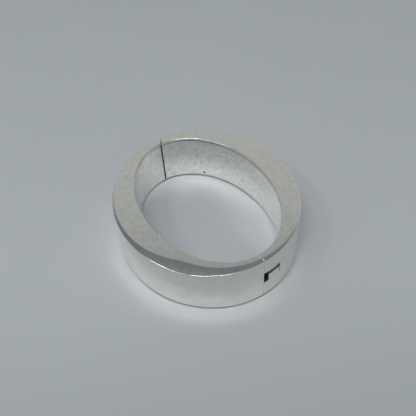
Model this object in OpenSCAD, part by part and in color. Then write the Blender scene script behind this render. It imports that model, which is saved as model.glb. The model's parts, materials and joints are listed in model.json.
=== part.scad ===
// Hinged bangle bracelet: two hollow halves of soldered sheet silver, a hidden
// tube hinge at one end and a push-in tongue clasp with a thumb tab at the other.
// +X points to the clasp, -X to the hinge, and the half with the bevel is on -Y.

/* [Bangle] */
// Length outside, from the hinge to the clasp
outer_length = 68.6; // [68:0.1:70]
// Width outside, across the joint line
outer_width = 63.4; // [62.8:0.1:66]
// Length of the wrist opening, from the hinge to the clasp
opening_length = 62.3; // [62:0.1:62.6]
// Width of the wrist opening
opening_width = 45; // [42:0.1:48]
// Height of the band
height = 19.4; // [18.6:0.1:22]

/* [Sheet] */
// Thickness of the outside walls and of the top and bottom plates
sheet = 0.7; // [0.6:0.05:0.8]
// Thickness of the inside walls
liner = 0.6; // [0.5:0.05:0.65]
// Thickness of the caps over the ends at the clasp
cap = 0.6; // [0.5:0.05:0.7]

/* [Bevel] */
// Direction of the bevel's widest place, in degrees from the clasp
bevel_direction = -50; // [-60:1:-45]
// Width of the bevel at its widest place, seen from above
bevel_width = 3.85; // [3:0.05:4]
// Degrees from the widest place to where the bevel runs out
bevel_reach = 60; // [55:1:65]
// Fall of the bevel for each millimetre outward
bevel_slope = 0.35; // [0.3:0.01:0.4]

/* [Hinge] */
// Radius of the hinge knuckles
knuckle_r = 1.35; // [1.3:0.01:1.4]
// Radius of the hinge pin
pin_r = 0.5; // [0.4:0.05:0.6]
// Gap between neighbouring knuckles
knuckle_gap = 0.08; // [0.06:0.01:0.12]
// Open joint that shows at the hinge inside the wrist opening
hinge_gap = 0.45; // [0.3:0.05:0.6]

/* [Clasp] */
// Height of the middle of the tongue above the table
clasp_z = 9.9; // [9.6:0.1:10.4]
// Height of the notch in the outside wall
notch_height = 5; // [4.8:0.1:5.4]
// Length of the notch, from the joint
notch_length = 7; // [7:0.1:7.4]
// Gap between the two halves at the clasp
clasp_gap = 0.12; // [0.1:0.01:0.2]
// Thickness of the two leaves of the tongue
leaf = 0.3; // [0.25:0.01:0.32]
// Height of the tongue
tongue_height = 4.6; // [4.2:0.1:4.6]
// Reach of the tongue into the box
tongue_reach = 7.4; // [7.2:0.1:7.5]
// Angle between the two leaves of the tongue at rest, in degrees
spread = 9.7; // [9:0.1:10]

/* [Thumb tab] */
// Length of the tab along the band
tab_length = 4.8; // [4.3:0.1:4.9]
// Height of the tab
tab_height = 3.5; // [3:0.1:3.6]
// Distance of the tab from the joint
tab_start = 1.7; // [1.6:0.1:1.8]
// How far the tab stands out of the wall
tab_proud = 0.4; // [0.3:0.05:0.4]

/* [Vent] */
// Radius of the vent hole inside the plain half
vent_r = 0.4; // [0.3:0.05:0.5]
// Height of the vent hole above the table
vent_z = 2; // [1.8:0.1:3]
// Direction of the vent hole, in degrees from the clasp
vent_direction = 150; // [140:1:160]

/* [Hidden] */
$fn = 128;
FRONT = -1;
BACK = 1;
SILVER = [0.78, 0.78, 0.74];
LINER_SILVER = [0.70, 0.70, 0.68];
DULL_SILVER = [0.55, 0.55, 0.53];
CAP_SILVER = [0.62, 0.64, 0.64];
HINGE_STEEL = [0.48, 0.50, 0.52];
SPRING_SILVER = [0.66, 0.65, 0.60];

// Half sizes of the outline and of the wrist opening
a_out = outer_length / 2;
b_out = outer_width / 2;
a_in = opening_length / 2;
b_in = opening_width / 2;
far = outer_length;

// Hinge: the barrel sits inside the thickness of the band, flush with its outside
hinge_x = -(a_out - knuckle_r);
seat_r = knuckle_r + 0.1;
trough_r = seat_r + 0.55;
bore_clearance = 0.03;
// Five knuckles, the lowest and the highest on the bevelled half
knuckles = 5;
knuckle_pitch = (height - 2 * sheet) / knuckles;
// Angle from -X to the lip of each half outside the barrel, which sets how far it opens
back_lip = 47;
front_lip = 34;
// Distance of each half's inside lip from the joint plane
back_inset = hinge_gap - 0.1;
front_inset = 0.1;
// Angle of the solder that joins a knuckle to its own half
solder_start = 24;

// Clasp
notch_z = clasp_z - notch_height / 2;
box_wall = 0.4;
box_reach = notch_length + 1.2;
// The lower leaf is bent round the hinge pin's axis, so it slides out along itself
leaf_start_r = a_in + liner + 0.1 - hinge_x;
tongue_root = 4;
// The fold that joins the two leaves, where the spring leaf bends
fold_r = 0.3;
fold_clearance = 0.03;
fold_x = hinge_x + sqrt(pow(leaf_start_r, 2) - pow(tongue_reach, 2)) + fold_r;
fold_wrap = 80;
spring_length = 5.6;
spring_v = fold_r + fold_clearance;
tab_z = notch_z + 0.2;
tab_sunk = 0.15;
tab_corner = 0.5;
neck_start = 2.6;
neck_length = 2.2;
neck_margin = 0.6;

// Bevel, worked out where the outline is a circle of radius 1
bevel_depth_share = bevel_width / (0.5 * (a_out + b_out));
bevel_shift = (2 * bevel_depth_share - pow(bevel_depth_share, 2))
              / (2 * (1 - bevel_depth_share - cos(bevel_reach)));
bevel_edge = 1 - bevel_depth_share + bevel_shift;
bevel_spread = 1 / (bevel_slope * 0.5 * (a_out + b_out));

// Outlines seen from above

module oval(a, b) {
    scale([a, b]) circle(r = 1);
}

// The band between an inset of the outside and an inset of the wrist opening
module band(from_outside, from_opening) {
    difference() {
        oval(a_out - from_outside, b_out - from_outside);
        oval(a_in + from_opening, b_in + from_opening);
    }
}

// All of one half's side of the joint plane, with a distance left free at each end
module side_area(side, hinge_inset, clasp_inset) {
    scale([1, side])
        union() {
            translate([-far, hinge_inset]) square([far, far]);
            translate([0, clasp_inset]) square([far, far]);
        }
}

// A wedge outside the hinge barrel, left free so that the halves can swing open
module swing_relief(side) {
    lip = side == BACK ? back_lip : front_lip;
    reach = 3 * knuckle_r;
    translate([hinge_x, 0])
        scale([1, side])
            polygon([[0, 0], [-reach / cos(lip), 0], [-reach, reach * tan(lip)]]);
}

module at_hinge() {
    translate([hinge_x, 0]) children();
}

function hinge_inset(side) = side == BACK ? back_inset : front_inset;

// One half's share of the band, up to its clasp cap
module half_band(side, from_outside, from_opening) {
    difference() {
        intersection() {
            band(from_outside, from_opening);
            side_area(side, hinge_inset(side), clasp_gap / 2 + cap);
        }
        swing_relief(side);
    }
}

// The space below the bevelled top, for a top at the given height
module under_top(top) {
    scale([a_out, b_out, 1])
        rotate(bevel_direction)
            translate([-bevel_shift, 0, 0])
                cylinder(h = top, r1 = bevel_edge + bevel_spread * top, r2 = bevel_edge);
}

// Sheets of one half

module outer_wall(side) {
    intersection() {
        translate([0, 0, sheet])
            linear_extrude(height - 2 * sheet)
                difference() {
                    half_band(side, 0, 0);
                    oval(a_out - sheet, b_out - sheet);
                    at_hinge() circle(r = trough_r);
                }
        under_top(height - sheet);
    }
}

module inner_wall(side) {
    translate([0, 0, sheet])
        linear_extrude(height - 2 * sheet)
            difference() {
                intersection() {
                    half_band(side, 0, 0);
                    oval(a_in + liner, b_in + liner);
                }
                at_hinge() circle(r = trough_r);
            }
}

// Outline of a top or bottom plate: the bevelled half's plates end in a round tab
// that covers the hinge barrel, and the other half's plates end in its seat
module plate_area(side) {
    if (side == FRONT) {
        half_band(FRONT, 0, 0);
        at_hinge() circle(r = knuckle_r);
    } else {
        difference() {
            half_band(BACK, 0, 0);
            at_hinge() circle(r = seat_r);
        }
    }
}

module bottom_plate(side) {
    linear_extrude(sheet) plate_area(side);
}

module top_plate(side) {
    difference() {
        intersection() {
            translate([0, 0, height / 2]) linear_extrude(height / 2) plate_area(side);
            under_top(height);
        }
        under_top(height - sheet);
    }
}

// Curved end wall that one half's knuckles are soldered into
module hinge_seat(side) {
    translate([0, 0, sheet])
        linear_extrude(height - 2 * sheet)
            intersection() {
                half_band(side, 0, 0);
                at_hinge()
                    difference() {
                        circle(r = trough_r);
                        circle(r = seat_r);
                    }
            }
}

// Flat cap over the end of one half at the clasp
module clasp_cap(side) {
    intersection() {
        linear_extrude(height)
            intersection() {
                band(0, 0);
                translate([0, side == BACK ? clasp_gap / 2 : -clasp_gap / 2 - cap])
                    square([far, cap]);
            }
        under_top(height);
    }
}

module front_outer_wall() {
    color(SILVER) outer_wall(FRONT);
}

module front_inner_wall() {
    color(LINER_SILVER) inner_wall(FRONT);
}

module front_top_plate() {
    color(SILVER) top_plate(FRONT);
}

module front_bottom_plate() {
    color(SILVER) bottom_plate(FRONT);
}

module front_hinge_seat() {
    color(DULL_SILVER) hinge_seat(FRONT);
}

module front_clasp_cap() {
    color(CAP_SILVER)
        difference() {
            clasp_cap(FRONT);
            tongue_bar();
        }
}

module back_outer_wall() {
    color(SILVER)
        difference() {
            outer_wall(BACK);
            notch();
        }
}

module back_inner_wall() {
    color(LINER_SILVER)
        difference() {
            inner_wall(BACK);
            translate([0, 0, vent_z])
                rotate([0, 90, vent_direction])
                    cylinder(r = vent_r, h = b_out);
        }
}

module back_top_plate() {
    color(SILVER) top_plate(BACK);
}

module back_bottom_plate() {
    color(SILVER) bottom_plate(BACK);
}

module back_hinge_seat() {
    color(DULL_SILVER) hinge_seat(BACK);
}

module back_clasp_cap() {
    color(CAP_SILVER)
        difference() {
            clasp_cap(BACK);
            notch();
        }
}

// Hinge

// Knuckles are numbered from the bottom, and odd ones belong to the bevelled half
module knuckle(number) {
    front = number % 2 == 1;
    side = front ? FRONT : BACK;
    bore_r = pin_r + (front ? 0 : bore_clearance);
    bottom = sheet + (number - 1) * knuckle_pitch + (number == 1 ? 0 : knuckle_gap / 2);
    top = sheet + number * knuckle_pitch - (number == knuckles ? 0 : knuckle_gap / 2);
    color(HINGE_STEEL)
        translate([0, 0, bottom])
            linear_extrude(top - bottom)
                difference() {
                    union() {
                        at_hinge() circle(r = knuckle_r);
                        solder(side);
                    }
                    at_hinge() circle(r = bore_r);
                }
}

// Thin fillet of solder between a knuckle and its seat
module solder(side) {
    difference() {
        intersection() {
            at_hinge() circle(r = seat_r);
            side_area(side, seat_r * sin(solder_start), far);
        }
        swing_relief(side);
    }
}

module hinge_pin() {
    color(HINGE_STEEL)
        translate([hinge_x, 0, sheet])
            cylinder(r = pin_r, h = height - 2 * sheet);
}

// Clasp

// Opening in the plain half that the tongue and the tab slide through
module notch() {
    translate([a_in + liner, 0, notch_z])
        cube([sheet + far, notch_length, notch_height]);
}

// Folded sheet that guides the tongue inside the plain half
module clasp_box() {
    start = clasp_gap / 2 + cap;
    color(DULL_SILVER)
        difference() {
            translate([0, 0, notch_z - box_wall])
                linear_extrude(notch_height + 2 * box_wall)
                    intersection() {
                        band(sheet, liner);
                        translate([0, start]) square([far, box_reach + box_wall - start]);
                    }
            translate([0, start - cap, notch_z])
                cube([far, box_reach - start + cap, notch_height]);
        }
}

// The lower leaf of the tongue and its root in the bevelled half
module tongue_bar() {
    translate([hinge_x, 0, clasp_z - tongue_height / 2])
        linear_extrude(tongue_height)
            intersection() {
                difference() {
                    circle(r = leaf_start_r + leaf);
                    circle(r = leaf_start_r);
                }
                translate([0, -tongue_root])
                    square([2 * far, tongue_root + tongue_reach]);
            }
}

module tongue_leaf() {
    color(SPRING_SILVER) {
        tongue_bar();
        translate([fold_x, tongue_reach, clasp_z - tongue_height / 2])
            cylinder(r = fold_r, h = tongue_height);
    }
}

// Places a shape on the spring leaf: the first axis runs from the fold towards the
// joint, and the second one out of the bangle
module on_spring() {
    translate([fold_x, tongue_reach])
        multmatrix([
            [sin(spread), cos(spread), 0, 0],
            [-cos(spread), sin(spread), 0, 0],
            [0, 0, 1, 0]
        ])
            children();
}

module spring_leaf() {
    color(SPRING_SILVER)
        translate([0, 0, clasp_z - tongue_height / 2])
            linear_extrude(tongue_height)
                on_spring() {
                    translate([0, spring_v]) square([spring_length, leaf]);
                    fold_hook();
                }
}

// The part of the spring leaf that turns round the fold
module fold_hook() {
    intersection() {
        difference() {
            circle(r = spring_v + leaf);
            circle(r = spring_v);
        }
        polygon([
            [0, 0],
            [0, 2],
            [-2, 2],
            [-2 * sin(fold_wrap), 2 * cos(fold_wrap)]
        ]);
    }
}

// Pressed by the thumb to close the spring leaf and free the tongue
module thumb_tab() {
    color(SILVER) {
        intersection() {
            translate([0, 0, tab_z])
                linear_extrude(tab_height)
                    difference() {
                        oval(a_out + tab_proud, b_out + tab_proud);
                        oval(a_out - tab_sunk, b_out - tab_sunk);
                    }
            tab_face();
        }
        tab_neck();
    }
}

// Rounded outline of the tab, seen from outside
module tab_face() {
    rotate([90, 0, 90])
        linear_extrude(far)
            rounded_rectangle(tab_start, tab_z, tab_length, tab_height, tab_corner);
}

module rounded_rectangle(x, y, w, h, r) {
    translate([x + r, y]) square([w - 2 * r, h]);
    translate([x, y + r]) square([w, h - 2 * r]);
    for (cx = [x + r, x + w - r], cy = [y + r, y + h - r])
        translate([cx, cy]) circle(r = r);
}

// Post between the spring leaf and the tab
module tab_neck() {
    translate([0, 0, tab_z + neck_margin])
        linear_extrude(tab_height - 2 * neck_margin)
            intersection() {
                on_spring()
                    translate([neck_start, spring_v + leaf])
                        square([neck_length, 3 * sheet]);
                oval(a_out - tab_sunk, b_out - tab_sunk);
            }
}

front_outer_wall();
front_inner_wall();
front_top_plate();
front_bottom_plate();
front_hinge_seat();
front_clasp_cap();
back_outer_wall();
back_inner_wall();
back_top_plate();
back_bottom_plate();
back_hinge_seat();
back_clasp_cap();
clasp_box();
knuckle(1);  // knuckle_1
knuckle(2);  // knuckle_2
knuckle(3);  // knuckle_3
knuckle(4);  // knuckle_4
knuckle(5);  // knuckle_5
hinge_pin();
tongue_leaf();
spring_leaf();
thumb_tab();
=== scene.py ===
"""A hinged, hollow silver bangle standing on a pale table.

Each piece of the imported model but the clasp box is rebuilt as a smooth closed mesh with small
rounded rims, because polished silver shows every facet. Meshes are built in millimetres and scaled
to metres at the end. BACK is the plain half, and FRONT is the bevelled one.
"""

import json
import math

import bmesh
import bpy
from mathutils import Matrix, Vector


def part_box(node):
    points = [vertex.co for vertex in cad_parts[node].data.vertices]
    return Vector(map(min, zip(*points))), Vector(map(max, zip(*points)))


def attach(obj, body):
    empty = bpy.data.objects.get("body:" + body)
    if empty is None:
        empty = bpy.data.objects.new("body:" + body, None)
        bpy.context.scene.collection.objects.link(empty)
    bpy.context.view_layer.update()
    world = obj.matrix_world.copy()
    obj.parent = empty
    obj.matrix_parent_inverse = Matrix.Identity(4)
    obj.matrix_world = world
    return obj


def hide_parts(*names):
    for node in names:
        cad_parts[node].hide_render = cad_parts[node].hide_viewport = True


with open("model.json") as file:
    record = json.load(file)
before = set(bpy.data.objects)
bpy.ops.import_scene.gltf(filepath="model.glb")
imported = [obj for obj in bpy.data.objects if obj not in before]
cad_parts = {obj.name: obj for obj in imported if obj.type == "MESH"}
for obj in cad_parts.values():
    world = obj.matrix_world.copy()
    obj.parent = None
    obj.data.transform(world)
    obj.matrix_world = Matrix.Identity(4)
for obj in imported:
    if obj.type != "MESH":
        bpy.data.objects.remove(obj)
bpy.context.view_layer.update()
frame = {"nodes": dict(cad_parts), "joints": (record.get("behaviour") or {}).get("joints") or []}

MM = 0.001
FRONT, BACK = -1, 1
BODY = {FRONT: "front_half", BACK: "back_half"}
PREFIX = {FRONT: "front_", BACK: "back_"}


def corner(packed, high):
    """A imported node's lowest (0) or highest (1) corner, in millimetres."""
    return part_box(packed)[high] / MM


def joint_place(name):
    """Where a joint's axis stands, in millimetres."""
    joint = next(j for j in frame["joints"] if j["name"] == name)
    return Vector(joint["pos_m"]) / MM


# The outline, the wrist opening and the sheets
A_OUT = corner("back_clasp_cap", 1).x
B_OUT = corner("back_outer_wall", 1).y
HEIGHT = corner("back_clasp_cap", 1).z
SHEET = corner("back_bottom_plate", 1).z
LINER = 0.6
A_IN = 31.15
B_IN = corner("back_inner_wall", 1).y - LINER

# The caps at the clasp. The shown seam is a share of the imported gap, as tight as in the photo
SEAM_SHARE = 0.4
CAP_FACE = SEAM_SHARE * corner("back_clasp_cap", 0).y
CAP_BACK = corner("back_clasp_cap", 1).y

# The bevel along the outside of the top rim: where it is widest, how wide it is there, and how it
# fades to both sides. Its crease is softened, and polishing has left it a little full
BEVEL_DIRECTION = math.radians(-50)
BEVEL_WIDTH = 3.75
BEVEL_FADE_CLASP = math.radians(38)
BEVEL_FADE_FAR = math.radians(30)
BEVEL_PEAK = math.radians(6)
BEVEL_SLOPE = 0.35
CREASE = 0.08
BEVEL_CROWN = 0.12
BEVEL_DEPTH = BEVEL_SLOPE * BEVEL_WIDTH
MEAN_R = (A_OUT + B_OUT) / 2

# Rounding of the rims, with the outer one more worn in one place, the angle from which an edge stays
# sharp, and how finely the sheets are divided
OUTER_RIM = 0.18
WORN_RIM = 0.24
WORN_DIRECTION = math.radians(-60)
WORN_REACH = math.radians(9)
INNER_RIM = 0.3
BOTTOM_RIM = 0.45
CAP_RIM = 0.08
SHARP = math.radians(38)
ARC_STEPS = 7
RIM_STEPS = 5
PRISM_STEPS = 3
STATIONS = 240
COLUMNS = 96
UNDER_COLUMNS = 12

# The hinge's barrel and pin
HINGE = joint_place("main_hinge")
KNUCKLES = 5
KNUCKLE_R = HINGE.x - corner("knuckle_1", 0).x
KNUCKLE_EDGE = 0.12
KNUCKLE_STEPS = 96
PIN_R = 0.5
PIN_RIM = 0.08
PIN_STEPS = 48
BORE_CLEARANCE = 0.03

# The solder that joins a knuckle to its seat, and the arc on the outside where it is left bare
SOLDER_START = math.radians(24)
SOLDER_FADE = 0.3
BARE_ARC = math.radians(50)

# The seats round the barrel, and the lips that stop the plates of each half short of it
SEAT_CLEARANCE = 0.1
SEAT_R = KNUCKLE_R + SEAT_CLEARANCE
SEAT_THINNEST = 0.02
SEAT_RIM = 0.01
SEAT_STEPS = 48
TROUGH_R = corner("back_hinge_seat", 1).y
BACK_LIP = math.radians(180 - 47)
FRONT_LIP = math.radians(180 + 34)
BACK_INSET = corner("back_hinge_seat", 0).y
FRONT_INSET = -corner("front_hinge_seat", 1).y

# How much smaller than the barrel the round ends of the bevelled half's plates are
PLATE_GAP = 0.22
PLATE_ARC_STEPS = 40

# Where the walls start at the hinge: the hinge seats close the band from there
OUTER_START = 1.476
INNER_START = 0.87

# The tongue's lower leaf and the bead at its fold
FOLD = joint_place("tongue_press")
FOLD_R = 0.3
BEAD_STEPS = 24
LEAF = 0.3
LEAF_R = math.hypot(FOLD.x - FOLD_R - HINGE.x, FOLD.y)
LEAF_RIM = 0.06
LEAF_STEPS = 40

# The spring leaf, hooked round the bead
SPREAD = math.radians(9.7)
FOLD_WRAP = math.radians(80)
FOLD_CLEARANCE = 0.03
HOOK_STEPS = 16
SPRING_LENGTH = 5.6
SPRING_LIFT = FOLD_R + FOLD_CLEARANCE

# The thumb tab, the post that carries it, and the folded clasp box
NECK_START, NECK_LENGTH, NECK_MARGIN = 2.6, 2.2, 0.6
NECK_RIM = 0.05
TAB_PROUD = 0.4
TAB_SUNK = 0.15
TAB_CORNER = 0.5
TAB_CORNER_STEPS = 8
TAB_RIM = 0.32
TAB_TOP_SHARES = (0.9, 0.7, 0.45, 0.2)
TAB_UNDER_INSET, TAB_UNDER_SHARE = 0.1, 0.5
BOX_FOLD = 0.06

# The notch in the plain half, its vent hole, and how far a cutter reaches past what it cuts
NOTCH_LENGTH = 7
NOTCH_HEIGHT = 5
NOTCH_LOW, NOTCH_HIGH = FOLD.z - NOTCH_HEIGHT / 2, FOLD.z + NOTCH_HEIGHT / 2
NOTCH_CORNER = 0.45
NOTCH_CORNER_STEPS = 6
VENT_R = 0.4
VENT_Z = 2
VENT_DIRECTION = math.radians(150)
VENT_FROM, VENT_TO = B_IN - 4, A_OUT - 3
VENT_STEPS = 32
CUT_PAST = 1

# Scratches: how many to the metre along X, Y and Z, their turn about the height, and how much of
# them shows. POLISH runs three ways, and UPRIGHT runs up the liner
POLISH = (((300, 300, 9000), 0, 0.5), ((9000, 400, 9000), 0.5, 0.6), ((400, 9000, 9000), 1.1, 0.5))
UPRIGHT = (((7000, 7000, 260), 0, 0.5), ((5000, 5000, 500), 0.4, 0.5))
SCRATCH_RANGE = (0.62, 0.68)
SCRATCH_ROUGH = 0.12
SCRATCH_DEPTH = 0.12

# The grain of the silver, with its dull specks, the waves in its sheet, and its clouds. Details are
# a noise's detail, roughness and distortion
GRAIN, GRAIN_DEPTH = 0.22, 0.05
FINE_DETAILS = (2.0, 0.6)
SPECK_RANGE, SPECK_SHARE = (0.66, 0.76), 0.25
WAVE, WAVE_DEPTH = 7, 3.0
DENT_DEPTH = 0.05
CLOUD_DETAILS = (5.0, 0.7, 0.4)
CLOUD_RANGE = (0.35, 0.75)

# Where the silver is dulled as painted shade: high up, and less so from the hinge's end towards the clasp
HIGH_SHADE_RISE = (6, 14)
HIGH_SHADE_ALONG, HIGH_SHADE_LEAST = (-5, 18), 0.1

# Pits, which come in groups
PIT, PIT_RANGE = 0.55, (0.66, 0.76)
PIT_GROUP, PIT_GROUP_RANGE = 8, (0.5, 0.65)

# Dark colour: painted shade at the foot and close round the hinge's axis, and grime along the joint under
# the top plate
GRIME_AND_SHADE = (0.08, 0.078, 0.078, 1)
FOOT_SHADE_RISE, FOOT_SHADE_SHARE = (0.4, 0.8), 0.75
JOINT_RISE = (HEIGHT - 1.15, HEIGHT - 1.0)
HINGE_SHADE_ALONG = (HINGE.x - 0.7, HINGE.x - 0.1)
HINGE_SHADE_REACH = (1.5, 1.7)

# The camera
CAMERA_AT = Vector((126.6, -71.6, 178.1))
CAMERA_AIM = Vector((-9.24, 5.85, 0))
CAMERA_LENS = 54.1
CAMERA_ROLL = math.radians(-4.17)

# The table: its two tones, a painted shadow that deepens its tone on the near side, and the haze far off
FLOOR_HALF = 3000
FLOOR_DROP = 0.03
FLOOR_CELLS = 8
FLOOR_CLOUD = 60
FLOOR_ROUGH = 0.75
FLOOR_TONES = (0.585, 0.62, 0.63, 1), (0.615, 0.65, 0.66, 1)
FLOOR_NEAR_SHADOW = (0.44, 0.47, 0.48, 1)
FLOOR_FAR = (0.91, 0.93, 0.94, 1)
NEAR_SIDE = Vector((CAMERA_AT.x, CAMERA_AT.y, 0)).normalized()
NEAR_SHADOW_FADE = (10, 120)
FAR_FADE = (150, 1200)

# The room, from the horizon to overhead, as heights on a sphere of radius 1, and the places where
# it is dim: each has its azimuth and rise, then the angles of its inner and outer edge, in degrees
HORIZON = (0.30, 0.315, 0.325, 1)
WALL_SKY = (0.445, 0.462, 0.48, 1)
WALL_RISE = 0.55
HIGH_SKY = (0.20, 0.22, 0.24, 1)
HIGH_FADE = (0.69, 0.94)
DIM_SKY = (0.16, 0.18, 0.21, 1)
DIM_PLACES = (((-110, 84), 8, 24), ((-158, 52), 8, 26), ((60, 46), 12, 34))

# The lamps' distance, their power to the square metre at a glow of 1, and each lamp's azimuth, rise,
# width and height, in degrees, and its glow
LAMP_DISTANCE = 700
LAMP_POWER = 4
LAMPS = {
    "left_window": (-97, 57, 18, 8, 3.7),
    "key_window": (-48, 70, 26, 7, 11.0),
    "right_window": (-12, 63, 18, 5, 1.6),
}


# Small tools


def mix(a, b, share):
    """The value between a and b at a share of the way."""
    return a + (b - a) * share


def steps(start, end, count):
    """Evenly spaced values from start to end, both included."""
    return [mix(start, end, i / count) for i in range(count + 1)]


def oval(a, b, angle):
    return Vector((a * math.cos(angle), b * math.sin(angle)))


def to_side(side):
    """Keeps a place on the plain half, or carries it across to the bevelled half."""
    return Matrix(((1, 0), (0, side)))


def around(centre, radius, start, end, count):
    """Points along an arc, from one angle to another."""
    return [centre + radius * Vector((math.cos(t), math.sin(t))) for t in steps(start, end, count)]


def hinge_centre():
    return HINGE.xy


def ray_to_oval(start, angle, a, b):
    """Distances along a ray to the near and far side of an oval, or None where it misses."""
    x, y = start.x / a, start.y / b
    dx, dy = math.cos(angle) / a, math.sin(angle) / b
    square = dx * dx + dy * dy
    half = x * dx + y * dy
    root = half * half - square * (x * x + y * y - 1)
    if root < 0:
        return None
    return (-half - math.sqrt(root)) / square, (-half + math.sqrt(root)) / square


# Meshes


def lofted(sections, closed=False):
    """A closed mesh through a row of sections, which are loops of as many points each.

    It has a face over each end, or with closed it runs on from the last section to the first.
    """
    bm = bmesh.new()
    rings = [[bm.verts.new(p) for p in section] for section in sections]
    pairs = list(zip(rings, rings[1:]))
    if closed:
        pairs.append((rings[-1], rings[0]))
    else:
        bm.faces.new(rings[0])
        bm.faces.new(rings[-1])
    for one, two in pairs:
        for i in range(len(one)):
            j = (i + 1) % len(one)
            bm.faces.new((one[i], one[j], two[j], two[i]))
    return bm


def solid(name, bm):
    """An object for a mesh still in millimetres."""
    bmesh.ops.recalc_face_normals(bm, faces=bm.faces)
    mesh = bpy.data.meshes.new(name)
    bm.to_mesh(mesh)
    bm.free()
    made = bpy.data.objects.new(name, mesh)
    bpy.context.scene.collection.objects.link(made)
    return made


def cut(target, cutter_bm):
    """Takes a closed shape away from an object, for good."""
    cutter = solid("cutter", cutter_bm)
    modifier = target.modifiers.new("cut", "BOOLEAN")
    modifier.operation = "DIFFERENCE"
    modifier.solver = "EXACT"
    modifier.object = cutter
    graph = bpy.context.evaluated_depsgraph_get()
    mesh = bpy.data.meshes.new_from_object(target.evaluated_get(graph))
    target.modifiers.clear()
    old = target.data
    target.data = mesh
    bpy.data.meshes.remove(old)
    used = cutter.data
    bpy.data.objects.remove(cutter)
    bpy.data.meshes.remove(used)


def piece(made, material, body, packed):
    """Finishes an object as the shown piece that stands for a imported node."""
    mesh = made.data
    mesh.transform(Matrix.Scale(MM, 4))
    mesh.materials.clear()
    mesh.materials.append(material)
    mesh.shade_smooth()
    mesh.set_sharp_from_angle(angle=SHARP)
    normals = made.modifiers.new("normals", "WEIGHTED_NORMAL")
    normals.keep_sharp = True
    made.name = packed + "_fine"
    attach(made, body)
    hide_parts(packed)


def inset_outline(points, distance):
    """A closed outline moved inwards, for one that runs anticlockwise.

    sharpest keeps a very sharp corner from moving too far.
    """
    sharpest = 0.3
    moved = []
    for before, here, after in zip(points[-1:] + points[:-1], points, points[1:] + points[:1]):
        first = (here - before).normalized()
        second = (after - here).normalized()
        inward = Vector((-first.y - second.y, first.x + second.x))
        scale = distance / max(sharpest, inward.length_squared / 2)
        moved.append(here + inward * scale)
    return moved


def prism(outline, low, high, rim):
    """An upright prism with rounded rims, over an outline that runs anticlockwise."""
    arc = steps(0, math.pi / 2, PRISM_STEPS)
    levels = [(low + rim * (1 - math.sin(t)), rim * (1 - math.cos(t))) for t in reversed(arc)]
    levels += [(high - rim * (1 - math.sin(t)), rim * (1 - math.cos(t))) for t in arc]
    return lofted([[(p.x, p.y, z) for p in inset_outline(outline, inset)] for z, inset in levels])


# The band's section. A point of a section is how far inwards it lies from the outside, and its height


def bevel_width(place):
    """How wide the bevel is beside a place: it fades out to both sides of its middle."""
    turn = math.remainder(math.atan2(place.y, place.x) - BEVEL_DIRECTION, 2 * math.pi)
    fade = BEVEL_FADE_CLASP if turn > 0 else BEVEL_FADE_FAR
    return BEVEL_WIDTH * math.exp((BEVEL_PEAK - math.hypot(turn, BEVEL_PEAK)) / fade)


def top_height(point):
    """Height of the finished top over a point seen from above.

    The bevel's crease is softened, and the bevel is a little fuller than a flat one, as polishing
    leaves it: its slope is less at the crease and more at the rim.
    """
    place = Vector((point.x / A_OUT, point.y / B_OUT))
    depth = (1 - place.length) * MEAN_R
    fall = BEVEL_SLOPE * (bevel_width(place) - depth)
    if fall <= -CREASE:
        return HEIGHT
    if fall < CREASE:
        fall = (fall + CREASE) ** 2 / (4 * CREASE)
    return HEIGHT - fall * (1 - BEVEL_CROWN * (1 - min(1, fall / BEVEL_DEPTH)))


def spokes(side, hinge_y, clasp_y):
    """(outside point, inside point) of each station of one half, from the hinge to the clasp."""
    outer = steps(math.pi - math.asin(hinge_y / B_OUT), math.asin(clasp_y / B_OUT), STATIONS)
    inner = steps(math.pi - math.asin(hinge_y / B_IN), math.asin(clasp_y / B_IN), STATIONS)
    turn = to_side(side)
    return [(turn @ oval(A_OUT, B_OUT, t), turn @ oval(A_IN, B_IN, u)) for t, u in zip(outer, inner)]


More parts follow.
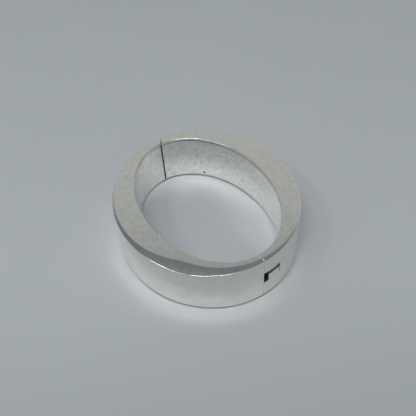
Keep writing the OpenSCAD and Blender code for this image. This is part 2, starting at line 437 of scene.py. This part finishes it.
class Spoke:
    """One station of the band: a vertical section from an outside point to an inside one."""

    def __init__(self, outside, inside):
        self.outside = outside
        self.width = (inside - outside).length
        self.inward = (inside - outside).normalized()
        turn = math.atan2(outside.y / B_OUT, outside.x / A_OUT) - WORN_DIRECTION
        self.rim = OUTER_RIM + WORN_RIM * math.exp(-((turn / WORN_REACH) ** 2))

    def top(self, depth):
        return top_height(self.outside + self.inward * depth)

    def placed(self, section):
        """A section's points in space."""
        return [(*(self.outside + self.inward * d), z) for d, z in section]

    def outer_rim(self, inset=0):
        """The rounding from the outside wall up onto the top."""
        r = self.rim - inset
        edge = self.top(0) - inset
        slope = (self.top(self.rim) - self.top(0)) / self.rim
        centre = edge + slope * r - r * math.hypot(1, slope)
        arc = steps(0, math.atan2(1, slope), ARC_STEPS)
        return [(inset + r - r * math.cos(t), centre + r * math.sin(t)) for t in arc]

    def inner_rim(self, inset=0):
        """The rounding from the top down into the wrist opening."""
        r = INNER_RIM - inset
        d, z = self.width - inset - r, self.top(self.width) - inset - r
        return [(d + r * math.cos(t), z + r * math.sin(t)) for t in steps(math.pi / 2, 0, ARC_STEPS)]

    def top_face(self, inset=0):
        """The rims and the flat or bevelled top between them."""
        outer, inner = self.outer_rim(inset), self.inner_rim(inset)
        depths = steps(outer[-1][0], inner[0][0], COLUMNS)[1:-1]
        return outer + [(d, self.top(d) - inset) for d in depths] + inner

    def bottom_face(self, inset=0):
        """The bottom and its rims, from the wrist opening to the outside."""
        r = BOTTOM_RIM - inset
        arc = steps(0, math.pi / 2, ARC_STEPS)
        low = inset + r
        inner = [(self.width - low + r * math.cos(t), low - r * math.sin(t)) for t in arc]
        outer = [(low - r * math.sin(t), low - r * math.cos(t)) for t in arc]
        return inner + outer

    def top_plate(self):
        under = [(d, self.top(d) - SHEET) for d in steps(self.width, 0, UNDER_COLUMNS)]
        return self.placed(self.top_face() + under)

    def bottom_plate(self):
        return self.placed(self.bottom_face() + [(0, SHEET), (self.width, SHEET)])

    def outer_wall(self):
        inner_top = self.top(SHEET) - SHEET
        return self.placed([(0, SHEET), (0, self.top(0) - SHEET), (SHEET, inner_top), (SHEET, SHEET)])

    def inner_wall(self):
        start = self.width - LINER
        low, high = SHEET, HEIGHT - SHEET
        return self.placed([(start, low), (self.width, low), (self.width, high), (start, high)])

    def whole(self, inset=0):
        return self.placed(self.top_face(inset) + self.bottom_face(inset))


def band_spokes(side, hinge_y, clasp_y=CAP_BACK):
    return [Spoke(*pair) for pair in spokes(side, hinge_y, clasp_y)]


# Sheets


def hinge_cutter(side):
    """What the plates of one half leave free round the hinge barrel."""
    centre = hinge_centre()
    far = 6
    if side == BACK:
        radius, level, lip = SEAT_R, BACK_INSET, BACK_LIP
    else:
        radius, level, lip = KNUCKLE_R - PLATE_GAP, -FRONT_INSET, FRONT_LIP
    arc = around(centre, radius, math.asin(level / radius), lip, PLATE_ARC_STEPS)
    lip_end = centre + far * Vector((math.cos(lip), math.sin(lip)))
    inside_x = centre.x + far
    away = centre.y - side * 2 * far
    outline = [Vector((inside_x, level)), *arc, lip_end]
    outline += [Vector((centre.x - 2 * far, lip_end.y)), Vector((centre.x - 2 * far, away))]
    outline += [Vector((inside_x, away))]
    return lofted([[(p.x, p.y, z) for p in outline] for z in (-CUT_PAST, HEIGHT + CUT_PAST)])


def plate_start(side):
    """Where the plates' sweep starts at the hinge, before the barrel's room is cut from them."""
    return BACK_INSET if side == BACK else -2 * KNUCKLE_R


def notch_cutter():
    """The notch's room, with rounded far corners, seen along X."""
    r = NOTCH_CORNER
    far_low = Vector((NOTCH_LENGTH - r, NOTCH_LOW + r))
    far_high = Vector((NOTCH_LENGTH - r, NOTCH_HIGH - r))
    outline = [Vector((-CUT_PAST, NOTCH_LOW))]
    outline += around(far_low, r, -math.pi / 2, 0, NOTCH_CORNER_STEPS)
    outline += around(far_high, r, 0, math.pi / 2, NOTCH_CORNER_STEPS)
    outline += [Vector((-CUT_PAST, NOTCH_HIGH))]
    return lofted([[(x, p.x, p.y) for p in outline] for x in (A_IN + LINER, A_OUT + 2 * CUT_PAST)])


def vent_cutter():
    """A round hole's room through the liner, from inside the opening into the hollow."""
    out = Vector((math.cos(VENT_DIRECTION), math.sin(VENT_DIRECTION), 0))
    side = Vector((-out.y, out.x, 0))
    turn = [2 * math.pi * i / VENT_STEPS for i in range(VENT_STEPS)]
    rim = [VENT_R * (side * math.cos(t) + Vector((0, 0, math.sin(t)))) for t in turn]
    rings = []
    for reach in (VENT_FROM, VENT_TO):
        centre = out * reach + Vector((0, 0, VENT_Z))
        rings.append([centre + p for p in rim])
    return lofted(rings)


def make_sheets(side, looks):
    """The two plates, the two walls and the clasp cap of one half."""
    plates = band_spokes(side, plate_start(side))
    top = solid("top", lofted([s.top_plate() for s in plates]))
    bottom = solid("bottom", lofted([s.bottom_plate() for s in plates]))
    for plate in (top, bottom):
        cut(plate, hinge_cutter(side))
    outer = solid("outer", lofted([s.outer_wall() for s in band_spokes(side, OUTER_START)]))
    inner = solid("inner", lofted([s.inner_wall() for s in band_spokes(side, INNER_START)]))
    cap = make_cap(side)
    if side == BACK:
        cut(outer, notch_cutter())
        cut(cap, notch_cutter())
        cut(inner, vent_cutter())
    body, prefix = BODY[side], PREFIX[side]
    piece(top, looks["plate"], body, prefix + "top_plate")
    piece(bottom, looks["plate"], body, prefix + "bottom_plate")
    piece(outer, looks["wall"], body, prefix + "outer_wall")
    piece(inner, looks["liner"], body, prefix + "inner_wall")
    piece(cap, looks["cap"], body, prefix + "clasp_cap")


def make_cap(side):
    """The flat cap over one end at the clasp, with a rounded rim round its face."""
    sections = []
    for t in steps(0, math.pi / 2, RIM_STEPS):
        sections.append((CAP_FACE + CAP_RIM * (1 - math.cos(t)), CAP_RIM * (1 - math.sin(t))))
    sections.append((CAP_BACK, 0))
    loops = []
    for y, inset in sections:
        outside = oval(A_OUT, B_OUT, math.asin(y / B_OUT))
        inside = oval(A_IN, B_IN, math.asin(y / B_IN))
        loops.append(Spoke(to_side(side) @ outside, to_side(side) @ inside).whole(inset))
    return solid("cap", lofted(loops))


# Hinge


def seat_reach(angle):
    """How far the seat reaches from the hinge's axis: it stays within the band's own outline."""
    reach = min(TROUGH_R, ray_to_oval(hinge_centre(), angle, A_OUT, B_OUT)[1])
    opening = ray_to_oval(hinge_centre(), angle, A_IN, B_IN)
    if opening is not None and opening[0] > 0:
        reach = min(reach, opening[0])
    return max(reach, SEAT_R + SEAT_THINNEST)


def seat_outline(side):
    """The curved end wall round the barrel."""
    centre = hinge_centre()
    level = BACK_INSET if side == BACK else FRONT_INSET
    lip = BACK_LIP if side == BACK else 2 * math.pi - FRONT_LIP
    inner, outer = [], []
    for t in steps(math.asin(level / SEAT_R), lip, SEAT_STEPS):
        direction = Vector((math.cos(t), math.sin(t)))
        inner.append(centre + SEAT_R * direction)
        outer.append(centre + seat_reach(t) * direction)
    outline = outer + inner[::-1]
    return outline if side == BACK else [Vector((p.x, -p.y)) for p in reversed(outline)]


def make_seat(side, looks):
    packed = PREFIX[side] + "hinge_seat"
    low, high = corner(packed, 0).z, corner(packed, 1).z
    made = solid("seat", prism(seat_outline(side), low, high, SEAT_RIM))
    piece(made, looks["seat"], BODY[side], packed)


def barrel_radius(side, angle):
    """A knuckle's outside radius, which swells smoothly to the seat's where solder holds it."""
    lean = side * math.sin(angle)
    share = min(1, max(0, (lean - math.sin(SOLDER_START) + SOLDER_FADE / 2) / SOLDER_FADE))
    if math.cos(angle) < -math.cos(BARE_ARC):
        share = 0
    return KNUCKLE_R + (SEAT_R - KNUCKLE_R) * share * share * (3 - 2 * share)


def make_knuckle(number, looks):
    """A turned tube with a fillet of solder towards its own half."""
    packed = f"knuckle_{number}"
    side = FRONT if number % 2 else BACK
    low, high = corner(packed, 0).z, corner(packed, 1).z
    bore = PIN_R + (BORE_CLEARANCE if side == BACK else 0)
    edge = KNUCKLE_EDGE
    sections = []
    for i in range(KNUCKLE_STEPS):
        t = 2 * math.pi * i / KNUCKLE_STEPS
        outer = barrel_radius(side, t)
        direction = Vector((math.cos(t), math.sin(t)))
        profile = [(bore, low), (outer - edge, low)]
        profile += [(outer - edge / 3, low + edge / 3), (outer, low + edge)]
        profile += [(r, low + high - z) for r, z in reversed(profile)]
        sections.append([(*(hinge_centre() + r * direction), z) for r, z in profile])
    made = solid(packed, lofted(sections, closed=True))
    piece(made, looks["hinge"], BODY[side], packed)


def make_pin(looks):
    low, high = corner("hinge_pin", 0).z, corner("hinge_pin", 1).z
    last = 2 * math.pi * (PIN_STEPS - 1) / PIN_STEPS
    outline = around(hinge_centre(), PIN_R, 0, last, PIN_STEPS - 1)
    made = solid("pin", prism(outline, low, high, PIN_RIM))
    piece(made, looks["hinge"], "front_half", "hinge_pin")


# Clasp


def make_tongue_leaf(looks):
    """The lower leaf, bent round the hinge's axis, with a round bead at its tip."""
    centre = hinge_centre()
    low, high = corner("tongue_leaf", 0), corner("tongue_leaf", 1)
    start, end = math.asin(low.y / LEAF_R), math.asin(FOLD.y / LEAF_R)
    inner = around(centre, LEAF_R, start, end, LEAF_STEPS)
    bead = around(FOLD.xy, FOLD_R, math.pi + end, 2.5 * math.pi + end, BEAD_STEPS)[1:-1]
    outer = around(centre, LEAF_R + LEAF, start, end - FOLD_R / LEAF_R, LEAF_STEPS)
    outline = outer + bead[::-1] + inner[::-1]
    made = solid("tongue", prism(outline, low.z, high.z, LEAF_RIM))
    piece(made, looks["tongue"], "front_half", "tongue_leaf")


def on_spring(along, out):
    """A place on the spring leaf: from the fold towards the joint, and out of the bangle."""
    s, c = math.sin(SPREAD), math.cos(SPREAD)
    return Vector((FOLD.x + along * s + out * c, FOLD.y - along * c + out * s))


def make_spring_leaf(looks):
    """The upper leaf, hooked round the fold at one end and straight from there."""
    hook = steps(math.pi / 2 + FOLD_WRAP, math.pi / 2, HOOK_STEPS)
    near = [on_spring(SPRING_LIFT * math.cos(t), SPRING_LIFT * math.sin(t)) for t in hook]
    far_r = SPRING_LIFT + LEAF
    far = [on_spring(far_r * math.cos(t), far_r * math.sin(t)) for t in hook]
    near.append(on_spring(SPRING_LENGTH, SPRING_LIFT))
    far.append(on_spring(SPRING_LENGTH, far_r))
    low, high = corner("spring_leaf", 0).z, corner("spring_leaf", 1).z
    outline = near + far[::-1]
    made = solid("spring", prism(outline, low, high, LEAF_RIM))
    piece(made, looks["tongue"], "tongue_spring", "spring_leaf")


def tab_ring(inset, share, proud):
    """A ring of the tab's rounded outline, drawn in, shrunk by a share and lifted off the wall."""
    low, high = corner("thumb_tab", 0), corner("thumb_tab", 1)
    centre = Vector(((low.y + high.y) / 2, (low.z + high.z) / 2))
    half = Vector(((high.y - low.y) / 2, (high.z - low.z) / 2)) - Vector((TAB_CORNER, TAB_CORNER))
    radius = TAB_CORNER - inset
    points = []
    for quarter in range(4):
        way = Vector((1 if quarter in (0, 3) else -1, 1 if quarter < 2 else -1))
        middle = Vector((half.x * way.x, half.y * way.y))
        turn = quarter * math.pi / 2
        points += around(middle, radius, turn, turn + math.pi / 2, TAB_CORNER_STEPS)
    ring = []
    for p in points:
        y, z = centre + p * share
        x = (A_OUT + proud) * math.sqrt(1 - (y / (B_OUT + proud)) ** 2)
        ring.append((x, y, z))
    return ring


def make_thumb_tab(looks):
    """A small rounded plate that follows the wall, on a post from the spring leaf."""
    rings = [tab_ring(TAB_UNDER_INSET, TAB_UNDER_SHARE, -TAB_SUNK), tab_ring(0, 1, -TAB_SUNK)]
    for t in steps(0, math.pi / 2, RIM_STEPS):
        rings.append(tab_ring(TAB_RIM * (1 - math.cos(t)), 1, TAB_PROUD - TAB_RIM * (1 - math.sin(t))))
    rings += [tab_ring(TAB_RIM, share, TAB_PROUD) for share in TAB_TOP_SHARES]
    made = solid("tab", lofted(rings))
    corners = [(0, 0), (NECK_LENGTH, 0), (NECK_LENGTH, 1), (0, 1)]
    low, high = corner("thumb_tab", 0).z + NECK_MARGIN, corner("thumb_tab", 1).z - NECK_MARGIN
    neck = [on_spring(NECK_START + u, SPRING_LIFT + LEAF + v) for u, v in corners]
    post = solid("post", prism(neck, low, high, NECK_RIM))
    join(made, post)
    piece(made, looks["tab"], "tongue_spring", "thumb_tab")


def join(one, two):
    """Moves the second object's mesh into the first one."""
    bm = bmesh.new()
    bm.from_mesh(one.data)
    bm.from_mesh(two.data)
    bm.to_mesh(one.data)
    bm.free()
    used = two.data
    bpy.data.objects.remove(two)
    bpy.data.meshes.remove(used)


def dress_clasp_box(looks):
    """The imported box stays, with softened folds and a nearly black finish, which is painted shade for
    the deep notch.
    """
    box = frame["nodes"]["clasp_box"]
    box.data.materials.clear()
    box.data.materials.append(looks["box"])
    folds = box.modifiers.new("folds", "BEVEL")
    folds.width = BOX_FOLD * MM
    folds.segments = 2


# Materials


def node(tree, kind, inputs=None, **settings):
    """A shader node with its settings, and its inputs linked or set."""
    made = tree.nodes.new("ShaderNode" + kind)
    for key, value in settings.items():
        setattr(made, key, value)
    for key, value in (inputs or {}).items():
        socket = made.inputs[key]
        if isinstance(value, bpy.types.NodeSocket):
            tree.links.new(value, socket)
        else:
            socket.default_value = value
    return made


def math_node(tree, operation, first, second=0.0):
    return node(tree, "Math", {0: first, 1: second}, operation=operation).outputs[0]


def ranged(tree, value, low, high, to_low=0.0, to_high=1.0):
    """A value carried smoothly from one range to another, and held at its ends."""
    inputs = {"Value": value, "From Min": low, "From Max": high, "To Min": to_low, "To Max": to_high}
    return node(tree, "MapRange", inputs, interpolation_type="SMOOTHSTEP").outputs[0]


def ranged_mm(tree, value, span, to_low=0.0, to_high=1.0):
    """The same as ranged, for a length in metres over a span in millimetres."""
    return ranged(tree, value, span[0] * MM, span[1] * MM, to_low, to_high)


def tinted(tree, share, first, second):
    """A colour between two, by a share."""
    return node(tree, "Mix", {0: share, 6: first, 7: second}, data_type="RGBA").outputs[2]


def noise(tree, place, scale, detail=1.0, rough=0.5, distortion=0.0):
    """A noise whose marks are so many to the metre, or per unit of stretched coordinates."""
    inputs = {"Vector": place, "Scale": scale, "Detail": detail, "Roughness": rough}
    inputs["Distortion"] = distortion
    return node(tree, "TexNoise", inputs).outputs[0]


def scaled(tree, value, factor):
    return math_node(tree, "MULTIPLY", value, factor)


def joined(tree, operation, values):
    """Values taken together, one after the other, by one operation."""
    total = values[0]
    for value in values[1:]:
        total = math_node(tree, operation, total, value)
    return total


def marks(tree, place, stretch, turn):
    """Thin marks that run one way: 1 on a mark and 0 off it."""
    inputs = {"Vector": place, "Scale": stretch, "Rotation": (0, 0, turn)}
    stretched = node(tree, "Mapping", inputs).outputs[0]
    streaks = noise(tree, stretched, 1.0, *FINE_DETAILS)
    return ranged(tree, streaks, *SCRATCH_RANGE)


def new_material(name):
    """A material whose tree of nodes is still empty."""
    material = bpy.data.materials.new(name)
    material.use_nodes = True
    material.node_tree.nodes.clear()
    return material


def tarnish_and_high_shade(tree, place, parts, grain, cloud_size, cloud_share, high_shade_and_joint):
    """How dull the silver is: in clouds and in specks, and high up away from the clasp, where the dulling
    is painted shade.
    """
    clouds = noise(tree, place, 1 / (cloud_size * MM), *CLOUD_DETAILS)
    wear = ranged(tree, clouds, *CLOUD_RANGE, 0.0, cloud_share)
    specks = scaled(tree, ranged(tree, grain, *SPECK_RANGE), SPECK_SHARE * cloud_share)
    high = ranged_mm(tree, parts[2], HIGH_SHADE_RISE, 0.0, high_shade_and_joint)
    high = scaled(tree, high, ranged_mm(tree, parts[0], HIGH_SHADE_ALONG, 1.0, HIGH_SHADE_LEAST))
    return node(tree, "Clamp", {0: joined(tree, "ADD", (wear, specks, high))}).outputs[0]


def hinge_painted_shade(tree, place, parts, hinge_shade):
    """Painted shade close round the hinge's axis, where the seam is deep, but not on the outside of the
    bangle.
    """
    inward = ranged_mm(tree, parts[0], HINGE_SHADE_ALONG, 0.0, hinge_shade)
    axis = node(tree, "CombineXYZ", {0: HINGE.x * MM, 1: HINGE.y * MM, 2: parts[2]}).outputs[0]
    reach = node(tree, "VectorMath", {0: place, 1: axis}, operation="DISTANCE").outputs["Value"]
    return scaled(tree, inward, ranged_mm(tree, reach, HINGE_SHADE_REACH, 1.0, 0.0))


def grime_and_painted_shade(tree, place, parts, high_shade_and_joint, hinge_shade, pitted):
    """Where the dark colour lies: painted shade at the foot and round the hinge, and grime under the top
    plate and in the pits.
    """
    # Painted contact shadow: the band darkens towards its foot.
    foot_shade = ranged_mm(tree, parts[2], FOOT_SHADE_RISE, FOOT_SHADE_SHARE, 0.0)
    joint = ranged_mm(tree, parts[2], JOINT_RISE, 0.0, 2 * high_shade_and_joint)
    groups = ranged(tree, noise(tree, place, 1 / (PIT_GROUP * MM)), *PIT_GROUP_RANGE)
    pits = ranged(tree, noise(tree, place, 1 / (PIT * MM)), *PIT_RANGE)
    pits = scaled(tree, scaled(tree, pits, groups), pitted)
    return joined(tree, "MAXIMUM", (foot_shade, hinge_painted_shade(tree, place, parts, hinge_shade), joint, pits))


def silver(name, bright, dull, rough, clouds, scratches, bump, high_shade_and_joint=0.0, hinge_shade=0.0, pitted=0.0):
    """Worn silver, tarnished in clouds, with scratches, grime and painted shade.

    rough is the roughness where it is bright and where it is dull, and clouds is the size of the
    clouds, in millimetres, and how much they dull it. high_shade_and_joint dulls it high up, which is
    painted shade, and darkens the joint under the top plate; hinge_shade paints shade round the
    hinge's axis; and pitted darkens its pits.
    """
    material = new_material(name)
    tree = material.node_tree
    place = node(tree, "TexCoord").outputs["Object"]
    parts = node(tree, "SeparateXYZ", {0: place}).outputs
    grain = noise(tree, place, 1 / (GRAIN * MM), *FINE_DETAILS)
    lines = [scaled(tree, marks(tree, place, stretch, turn), shown) for stretch, turn, shown in scratches]
    lines = joined(tree, "MAXIMUM", lines)
    dullness = tarnish_and_high_shade(tree, place, parts, grain, *clouds, high_shade_and_joint)
    colour = tinted(tree, dullness, bright, dull)
    colour = tinted(tree, grime_and_painted_shade(tree, place, parts, high_shade_and_joint, hinge_shade, pitted), colour, GRIME_AND_SHADE)
    smooth = ranged(tree, dullness, 0, 1, *rough)
    roughness = joined(tree, "ADD", (smooth, scaled(tree, lines, SCRATCH_ROUGH)))
    waves = scaled(tree, noise(tree, place, 1 / (WAVE * MM)), WAVE_DEPTH)
    relief = (waves, scaled(tree, grain, GRAIN_DEPTH), scaled(tree, lines, -SCRATCH_DEPTH))
    inputs = {"Height": joined(tree, "ADD", relief), "Strength": bump, "Distance": DENT_DEPTH * MM}
    dents = node(tree, "Bump", inputs).outputs[0]
    inputs = {"Base Color": colour, "Metallic": 1.0, "Roughness": roughness, "Normal": dents}
    shader = node(tree, "BsdfPrincipled", inputs)
    node(tree, "OutputMaterial", {"Surface": shader.outputs[0]})
    return material


def outside_looks():
    """The finishes of the sheets that the outside shows."""
    bright = (0.89, 0.87, 0.815, 1)
    satin, smooth = (0.09, 0.2), (0.09, 0.22)
    return {
        "plate": silver("satin_edge", (0.86, 0.845, 0.765, 1), (0.70, 0.685, 0.62, 1), satin,
                        (1.7, 0.6), POLISH, 0.3, pitted=0.4),
        "wall": silver("polished_wall", bright, (0.77, 0.75, 0.695, 1), smooth,
                       (5.0, 0.65), POLISH, 0.3, pitted=0.25),
        "cap": silver("end_cap", bright, (0.80, 0.77, 0.69, 1), smooth, (6.0, 0.6), POLISH, 0.3),
        "tab": silver("thumb_tab", bright, (0.72, 0.69, 0.61, 1), (0.12, 0.26), (1.0, 0.7), POLISH, 0.3),
    }


def inside_looks():
    """The finishes of the liner and of the hinge, the tongue and the clasp box, with painted shade on
    some.
    """
    pale, cloudy, worn = (0.97, 0.96, 0.92, 1), (0.69, 0.68, 0.65, 1), (0.12, 0.26)
    return {
        # Painted shade: the liner and the seat are dulled high up.
        "liner": silver("worn_liner_shaded_high", pale, cloudy, worn, (1.3, 0.9), UPRIGHT, 0.3,
                        high_shade_and_joint=0.4, pitted=0.4),
        # Painted shade in the deep seam: the seat and the hinge tube darken round the hinge's axis.
        "seat": silver("hinge_seat", pale, cloudy, worn, (1.3, 0.9), UPRIGHT, 0.3,
                       high_shade_and_joint=0.45, hinge_shade=0.85),
        "hinge": silver("hinge_tube", (0.68, 0.68, 0.66, 1), (0.36, 0.34, 0.31, 1), (0.22, 0.4),
                        (0.8, 0.8), POLISH, 0.4, hinge_shade=0.85),
        # Painted shade: the tongue is a little darker and the clasp box nearly black, for the deep notch
        # they sit in.
        "tongue": silver("tongue_spring", (0.74, 0.71, 0.63, 1), (0.40, 0.37, 0.31, 1), (0.2, 0.4),
                         (1.0, 0.7), POLISH, 0.4),
        "box": silver("box_dark_as_shade", (0.16, 0.15, 0.14, 1), (0.05, 0.045, 0.04, 1), (0.4, 0.6),
                      (1.0, 1.0), POLISH, 0.4),
    }


# Studio


def table_material():
    """Pale and matt, with a painted shadow deeper on the near side, and hazy far off."""
    material = new_material("pale_table")
    tree = material.node_tree
    place = node(tree, "TexCoord").outputs["Object"]
    shade = noise(tree, place, 1 / (FLOOR_CLOUD * MM), 2.0)
    near = node(tree, "VectorMath", {0: place, 1: NEAR_SIDE}, operation="DOT_PRODUCT").outputs["Value"]
    reach = node(tree, "VectorMath", {0: place}, operation="LENGTH").outputs["Value"]
    colour = tinted(tree, shade, *FLOOR_TONES)
    # Painted shadow, deeper towards the near side.
    colour = tinted(tree, ranged_mm(tree, near, NEAR_SHADOW_FADE), colour, FLOOR_NEAR_SHADOW)
    colour = tinted(tree, ranged_mm(tree, reach, FAR_FADE), colour, FLOOR_FAR)
    shader = node(tree, "BsdfPrincipled", {"Base Color": colour, "Roughness": FLOOR_ROUGH})
    node(tree, "OutputMaterial", {"Surface": shader.outputs[0]})
    return material


def make_floor():
    """A table top, far wider than the view."""
    bm = bmesh.new()
    bmesh.ops.create_grid(bm, x_segments=FLOOR_CELLS, y_segments=FLOOR_CELLS, size=FLOOR_HALF)
    bmesh.ops.translate(bm, verts=bm.verts, vec=(0, 0, -FLOOR_DROP))
    floor = solid("table_top", bm)
    floor.data.transform(Matrix.Scale(MM, 4))
    floor.data.materials.append(table_material())


def toward(azimuth, rise):
    """A direction from the bangle, by its angles from +X and above the horizon, in degrees."""
    turn, up = math.radians(azimuth), math.radians(rise)
    return Vector((math.cos(turn) * math.cos(up), math.sin(turn) * math.cos(up), math.sin(up)))


def patch(tree, way, direction, inner, outer):
    """1 within an angle of a direction, falling smoothly to 0 at the outer angle, in degrees."""
    near = node(tree, "VectorMath", {0: way, 1: direction}, operation="DOT_PRODUCT").outputs["Value"]
    return ranged(tree, near, math.cos(math.radians(outer)), math.cos(math.radians(inner)))


def make_world():
    """A soft pale room: paler up its walls, and darker overhead and in a few places."""
    world = bpy.data.worlds.new("studio")
    bpy.context.scene.world = world
    world.use_nodes = True
    tree = world.node_tree
    tree.nodes.clear()
    way = node(tree, "TexCoord").outputs["Generated"]
    rise = node(tree, "SeparateXYZ", {0: way}).outputs[2]
    colour = tinted(tree, ranged(tree, rise, 0.0, WALL_RISE), HORIZON, WALL_SKY)
    colour = tinted(tree, ranged(tree, rise, *HIGH_FADE), colour, HIGH_SKY)
    for direction, inner, outer in DIM_PLACES:
        colour = tinted(tree, patch(tree, way, toward(*direction), inner, outer), colour, DIM_SKY)
    light = node(tree, "Background", {"Color": colour, "Strength": 1.0})
    node(tree, "OutputWorld", {"Surface": light.outputs[0]})


def make_lamp(name, azimuth, rise, wide, high, glow):
    """A soft lamp that looks at the bangle; its sizes are the angles that it fills, in degrees."""
    lamp = bpy.data.lights.new(name, "AREA")
    lamp.shape = "RECTANGLE"
    lamp.size = 2 * LAMP_DISTANCE * math.tan(math.radians(wide) / 2) * MM
    lamp.size_y = 2 * LAMP_DISTANCE * math.tan(math.radians(high) / 2) * MM
    lamp.energy = glow * LAMP_POWER * lamp.size * lamp.size_y
    made = bpy.data.objects.new(name, lamp)
    bpy.context.scene.collection.objects.link(made)
    from_bangle = toward(azimuth, rise)
    made.location = from_bangle * LAMP_DISTANCE * MM
    made.rotation_euler = from_bangle.to_track_quat("Z", "Y").to_euler()
    made.visible_camera = False


def make_camera():
    camera = bpy.data.cameras.new("camera")
    camera.lens = CAMERA_LENS
    camera.clip_start, camera.clip_end = 0.001, 10
    made = bpy.data.objects.new("camera", camera)
    bpy.context.scene.collection.objects.link(made)
    made.location = CAMERA_AT * MM
    look = (CAMERA_AIM - CAMERA_AT).to_track_quat("-Z", "Y")
    made.rotation_euler = (look.to_matrix() @ Matrix.Rotation(CAMERA_ROLL, 3, "Z")).to_euler()
    bpy.context.scene.camera = made


def main():
    bpy.context.scene.view_settings.view_transform = "Standard"
    bpy.context.scene.cycles.blur_glossy = 0.0
    looks = outside_looks() | inside_looks()
    for side in (FRONT, BACK):
        make_sheets(side, looks)
        make_seat(side, looks)
    for number in range(1, KNUCKLES + 1):
        make_knuckle(number, looks)
    make_pin(looks)
    make_tongue_leaf(looks)
    make_spring_leaf(looks)
    make_thumb_tab(looks)
    dress_clasp_box(looks)
    make_floor()
    make_world()
    for name, settings in LAMPS.items():
        make_lamp(name, *settings)
    make_camera()


main()
